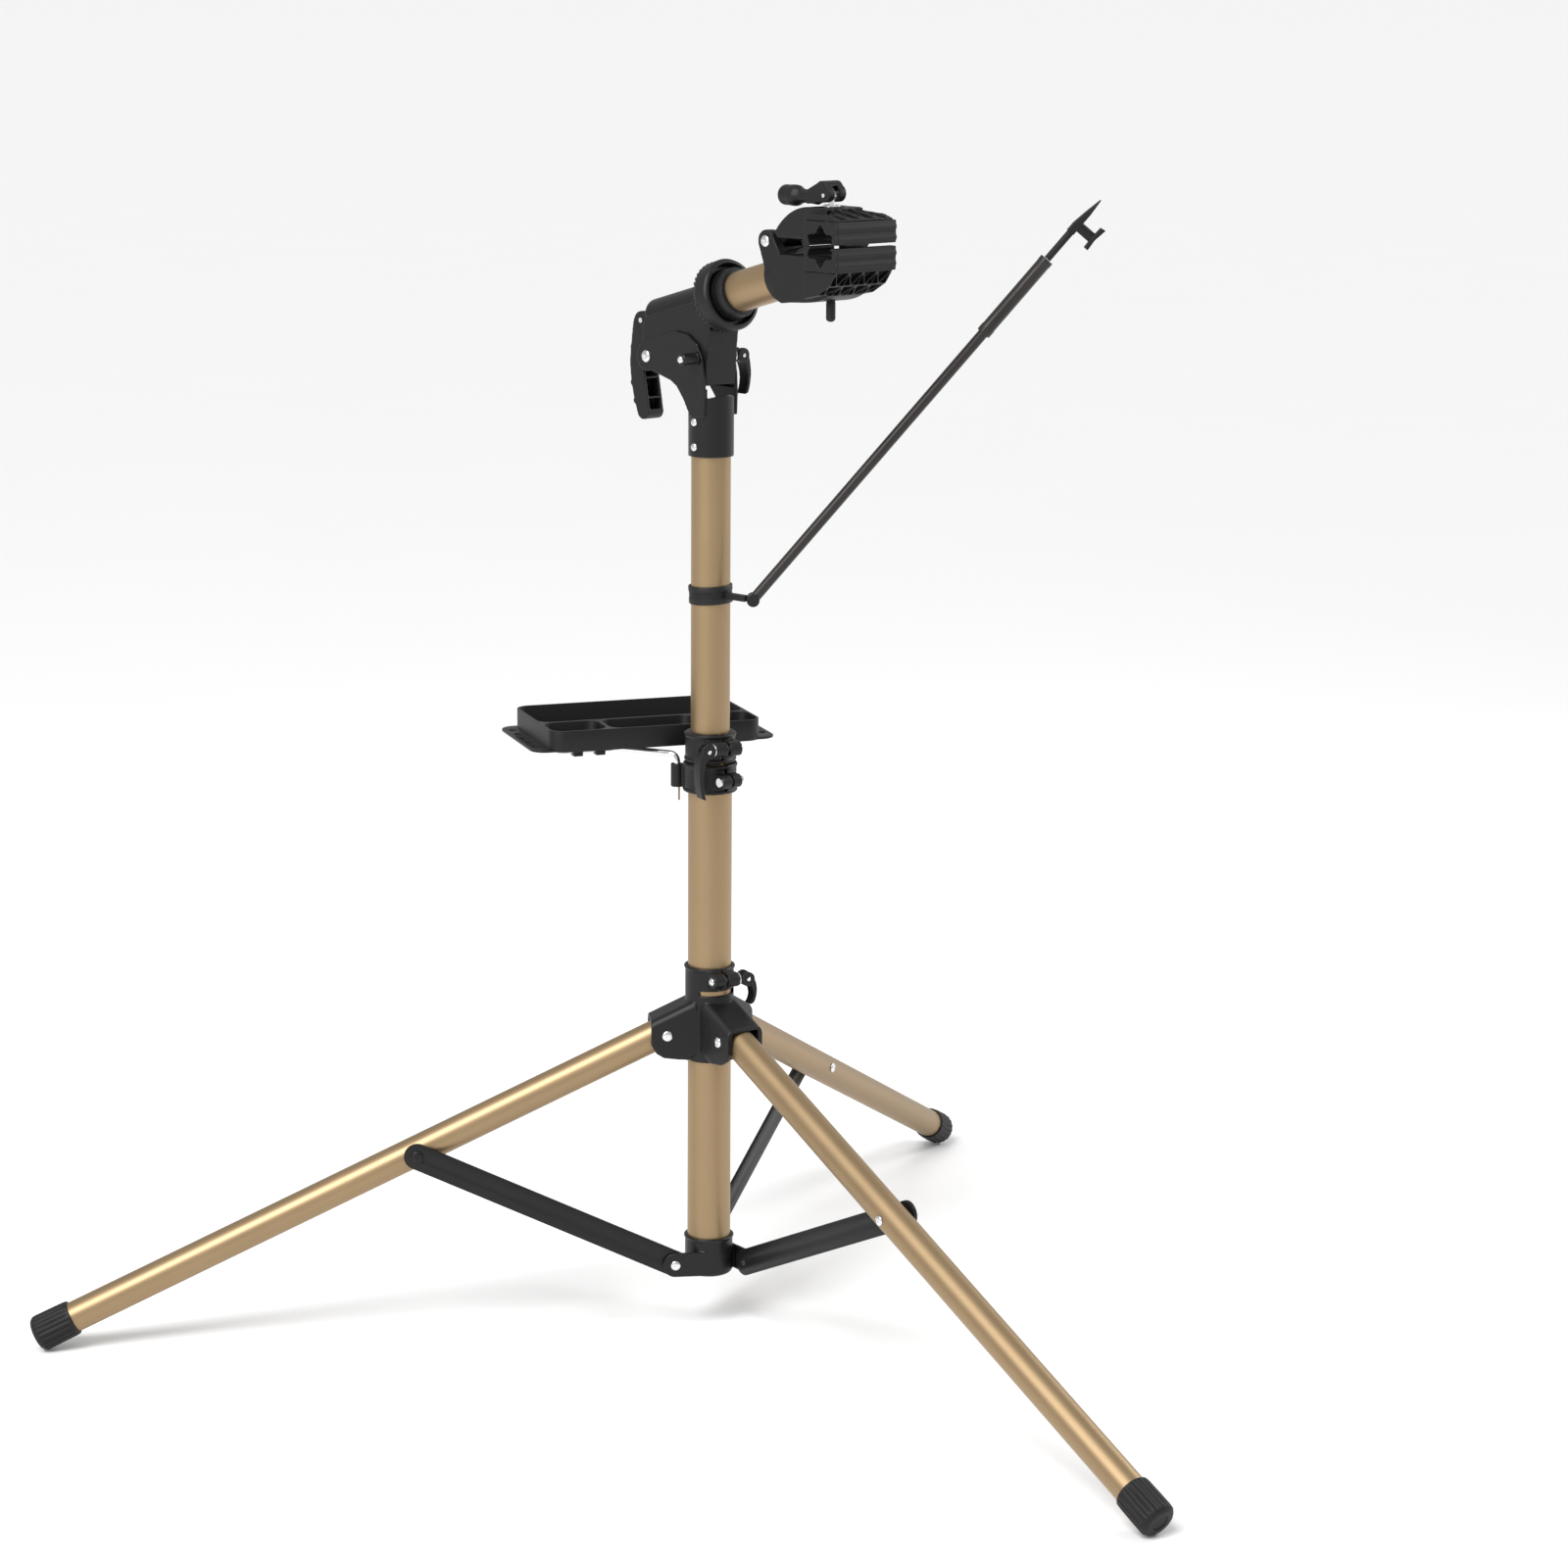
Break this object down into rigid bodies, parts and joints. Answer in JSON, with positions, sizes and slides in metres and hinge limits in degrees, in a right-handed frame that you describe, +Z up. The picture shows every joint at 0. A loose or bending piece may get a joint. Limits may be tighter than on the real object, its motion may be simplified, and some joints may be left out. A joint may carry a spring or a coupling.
{
  "type": "bicycle repair stand",
  "caption": "Folding tripod stand with a telescopic post, a folding head with a turning clamp arm, a tool tray and a steadying rod.",
  "frame": {"origin": "on the floor, on the post axis", "axes": "+Z up along the post; the left leg points along -X and the other two legs lie at 60 and 300 degrees"},
  "size_m": [1.0854, 1.228, 1.2018],
  "materials": {
    "bronze_tube": "satin anodised bronze",
    "black_plastic": "satin moulded",
    "black_metal": "satin powder coat",
    "steel": "bright zinc",
    "chrome": "polished",
    "rubber": "matte",
    "dark_tube": "satin black anodised"
  },
  "bodies": {
    "stand_base": {"lower_post": "bronze_tube", "foot_hub": "black_plastic", "foot_hub_rivets": "steel", "post_collar": "black_plastic", "post_qr_bolt": "steel", "tray_collar": "black_plastic", "tray_screw": "steel"},
    "leg_hub": {"leg_hub": "black_plastic", "leg_hub_bolts": "steel", "hub_qr_bolt": "steel"},
    "leg_left": {"left_leg": "bronze_tube", "left_foot_cap": "rubber", "left_leg_bolt": "steel"},
    "strut_left": {"left_strut": "black_metal", "left_strut_bolt": "steel"},
    "leg_front": {"front_leg": "bronze_tube", "front_foot_cap": "rubber", "front_leg_bolt": "steel"},
    "strut_front": {"front_strut": "black_metal", "front_strut_bolt": "steel"},
    "leg_back": {"back_leg": "bronze_tube", "back_foot_cap": "rubber", "back_leg_bolt": "steel"},
    "strut_back": {"back_strut": "black_metal", "back_strut_bolt": "steel"},
    "hub_lever": {"hub_qr_lever": "black_plastic"},
    "post_lever": {"post_qr_lever": "black_plastic"},
    "post_glide": {"glide_plug": "black_plastic"},
    "upper_post": {"upper_post": "bronze_tube", "head_yoke": "black_metal", "yoke_rivets": "steel", "fold_bolt": "steel", "head_qr_bolt": "steel", "head_qr_spacers": "black_metal", "post_strap": "rubber", "strap_link": "black_plastic"},
    "head_lever": {"head_qr_lever": "black_plastic"},
    "arm_housing": {"arm_housing": "black_metal", "index_ring": "black_plastic", "drawbar": "steel"},
    "lock_handle": {"lock_lever": "black_plastic"},
    "clamp_arm": {"arm_spindle": "steel", "arm_cup": "black_plastic", "arm_tube": "bronze_tube", "clamp_body": "black_metal", "jaw_bolt": "steel", "lower_pad": "rubber"},
    "upper_jaw": {"upper_jaw": "black_metal", "upper_pad": "rubber"},
    "clamp_rod": {"clamp_rod": "steel", "clamp_washer": "steel", "clamp_rod_cap": "black_plastic"},
    "clamp_lever": {"cam_lever": "black_plastic"},
    "tray": {"tool_tray": "black_plastic", "tray_rod": "chrome", "tray_clips": "black_plastic"},
    "rod_lower": {"rod_lower": "dark_tube"},
    "rod_upper": {"rod_upper": "black_plastic"},
    "rod_hook": {"rod_hook": "black_plastic"}
  },
  "joints": [
    {"name": "hub_slide", "type": "slide", "parent": "stand_base", "child": "leg_hub", "axis": [0, 0, 1], "range_m": [0, 0.18]},
    {"name": "leg_left_fold", "type": "hinge", "parent": "leg_hub", "child": "leg_left", "pos_m": [-0.0458, 0, 0.323], "axis": [0, -1, 0], "range_deg": [0, 22.56]},
    {"name": "strut_left_fold", "type": "hinge", "parent": "stand_base", "child": "strut_left", "pos_m": [-0.0374, 0, 0.0748], "axis": [0, 1, 0], "range_deg": [0, 21.97]},
    {"name": "leg_front_fold", "type": "hinge", "parent": "leg_hub", "child": "leg_front", "pos_m": [0.0229, -0.03966, 0.323], "axis": [0.866, 0.5, 0], "range_deg": [0, 22.56]},
    {"name": "strut_front_fold", "type": "hinge", "parent": "stand_base", "child": "strut_front", "pos_m": [0.0187, -0.03239, 0.0748], "axis": [-0.866, -0.5, 0], "range_deg": [0, 21.97]},
    {"name": "leg_back_fold", "type": "hinge", "parent": "leg_hub", "child": "leg_back", "pos_m": [0.0229, 0.03966, 0.323], "axis": [-0.866, 0.5, 0], "range_deg": [0, 22.56]},
    {"name": "strut_back_fold", "type": "hinge", "parent": "stand_base", "child": "strut_back", "pos_m": [0.0187, 0.03239, 0.0748], "axis": [0.866, -0.5, 0], "range_deg": [0, 21.97]},
    {"name": "hub_lever_open", "type": "hinge", "parent": "leg_hub", "child": "hub_lever", "pos_m": [0.03462, -0.02215, 0.383], "axis": [-0.3746, 0.9272, 0], "range_deg": [-130, 0]},
    {"name": "post_lever_open", "type": "hinge", "parent": "stand_base", "child": "post_lever", "pos_m": [-0.00877, -0.04183, 0.626], "axis": [0.3746, -0.9272, 0], "range_deg": [-130, 0]},
    {"name": "post_slide", "type": "slide", "parent": "stand_base", "child": "post_glide", "axis": [0, 0, 1], "range_m": [-0.12, 0.18]},
    {"name": "post_swivel", "type": "hinge", "parent": "post_glide", "child": "upper_post", "pos_m": [0, 0, 0.36], "axis": [0, 0, 1], "continuous": true},
    {"name": "head_lever_open", "type": "hinge", "parent": "upper_post", "child": "head_lever", "pos_m": [0.03019, 0.01884, 1.02], "axis": [-0.5878, 0.809, 0], "range_deg": [-130, 0]},
    {"name": "arm_fold", "type": "hinge", "parent": "upper_post", "child": "arm_housing", "pos_m": [-0.04232, 0.05825, 1.0165], "axis": [-0.809, -0.5878, 0], "range_deg": [0, 236]},
    {"name": "lock_handle_open", "type": "hinge", "parent": "arm_housing", "child": "lock_handle", "pos_m": [-0.05556, 0.07647, 1.05024], "axis": [-0.809, -0.5878, 0], "range_deg": [-110, 0]},
    {"name": "arm_spin", "type": "hinge", "parent": "arm_housing", "child": "clamp_arm", "pos_m": [0, 0, 1.0761], "axis": [0.567, -0.7803, 0.2639], "continuous": true},
    {"name": "clamp_feed", "type": "slide", "parent": "clamp_arm", "child": "clamp_rod", "axis": [0, 0, -1], "range_m": [-0.02, 0]},
    {"name": "jaw_open", "type": "hinge", "parent": "clamp_arm", "child": "upper_jaw", "pos_m": [0.05995, -0.08252, 1.1415], "axis": [0.809, 0.5878, 0], "range_deg": [-12, 0]},
    {"name": "clamp_lever_open", "type": "hinge", "parent": "clamp_rod", "child": "clamp_lever", "pos_m": [0.10051, -0.13834, 1.188], "axis": [-0.809, -0.5878, 0], "range_deg": [-85, 0]},
    {"name": "tray_swivel", "type": "hinge", "parent": "stand_base", "child": "tray", "pos_m": [-0.03268, 0.01254, 0.59], "axis": [0, 0, 1], "range_deg": [-5, 90]},
    {"name": "rod_tilt", "type": "hinge", "parent": "upper_post", "child": "rod_lower", "pos_m": [0.038, -0.044, 0.781], "axis": [0.1097, 0.994, 0], "range_deg": [-20, 100]},
    {"name": "rod_slide", "type": "slide", "parent": "rod_lower", "child": "rod_upper", "axis": [-0.6416, 0.0708, -0.7638], "range_m": [-0.025, 0.05]},
    {"name": "hook_spin", "type": "hinge", "parent": "rod_upper", "child": "rod_hook", "pos_m": [0.29462, -0.07233, 1.08652], "axis": [0.6416, -0.0708, 0.7638], "continuous": true}
  ],
  "couplings": [
    {"joint": "leg_left_fold", "follows": "hub_slide", "rad_per_m": 2.1782},
    {"joint": "strut_left_fold", "follows": "hub_slide", "rad_per_m": 2.1209},
    {"joint": "leg_front_fold", "follows": "hub_slide", "rad_per_m": 2.1782},
    {"joint": "strut_front_fold", "follows": "hub_slide", "rad_per_m": 2.1209},
    {"joint": "leg_back_fold", "follows": "hub_slide", "rad_per_m": 2.1782},
    {"joint": "strut_back_fold", "follows": "hub_slide", "rad_per_m": 2.1209},
    {"joint": "jaw_open", "follows": "clamp_feed", "rad_per_m": 10.428}
  ]
}
